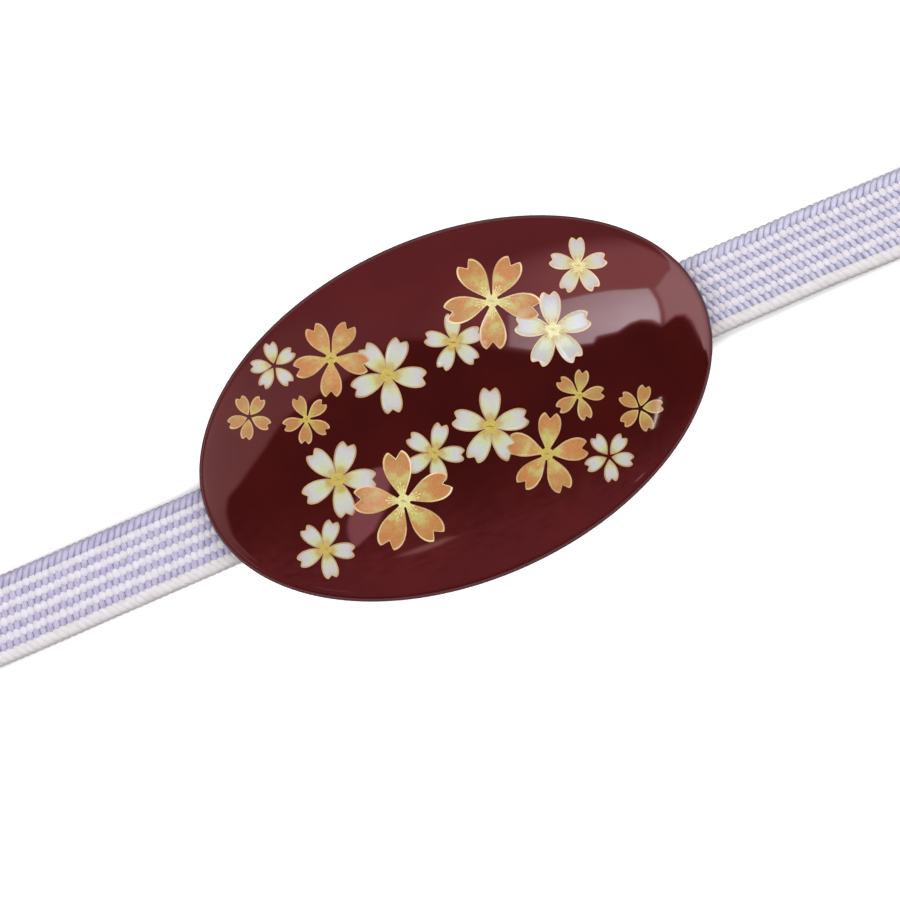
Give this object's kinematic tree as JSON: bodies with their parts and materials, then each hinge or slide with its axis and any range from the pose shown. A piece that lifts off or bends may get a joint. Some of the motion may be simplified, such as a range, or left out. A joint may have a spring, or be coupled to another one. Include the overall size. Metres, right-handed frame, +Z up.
{
  "type": "obidome on a flat braided cord",
  "caption": "Domed oval lacquered sash clip with cherry blossoms, held by a metal fitting on a flat braided silk cord.",
  "frame": {"origin": "on the surface that the clip lies on, below the middle of the oval", "axes": "+X along the oval's long axis and along the cord, +Y across the cord, +Z up out of the crown"},
  "size_m": [0.1202, 0.0384, 0.0116],
  "materials": {
    "lacquer": "dark red lacquer, polished to a high gloss, with gold-outlined blossoms painted on",
    "fitting_metal": "thin gold-coloured plating over stamped brass strip, satin",
    "cord_silk": "braided silk in lavender and white ribs"
  },
  "bodies": {
    "root": {"lacquered_oval": "lacquer", "back_fitting": "fitting_metal", "braided_cord": "cord_silk"}
  },
  "joints": []
}
